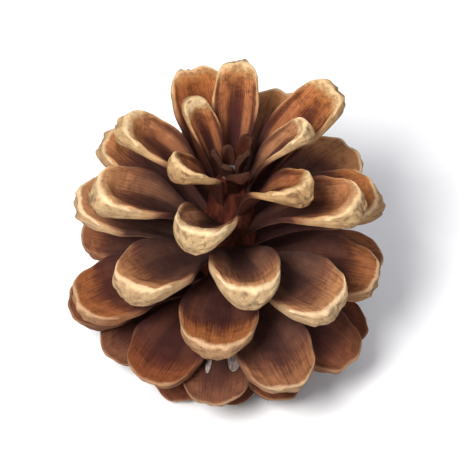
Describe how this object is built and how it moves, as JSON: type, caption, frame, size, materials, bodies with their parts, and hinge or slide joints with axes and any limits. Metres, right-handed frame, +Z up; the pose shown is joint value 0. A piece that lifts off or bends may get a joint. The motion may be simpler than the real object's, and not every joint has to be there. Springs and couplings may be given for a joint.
{
  "type": "pine cone",
  "caption": "Open, ripe pine cone with spirally set woody scales that end in keeled pads, standing on its base.",
  "frame": {"origin": "centre of the flat stalk scar, in the plane that the cone rests on", "axes": "+Z up along the cone's axis from the stalk scar to the tip; -Y is the side that faces the camera in the picture"},
  "size_m": [0.0538, 0.0548, 0.0532],
  "materials": {
    "cone": "dry, matt to satin woody scales: red-brown faces, darker towards the axis, with tan-gold pads and rims"
  },
  "bodies": {
    "root": {"cone": "cone"}
  },
  "joints": []
}
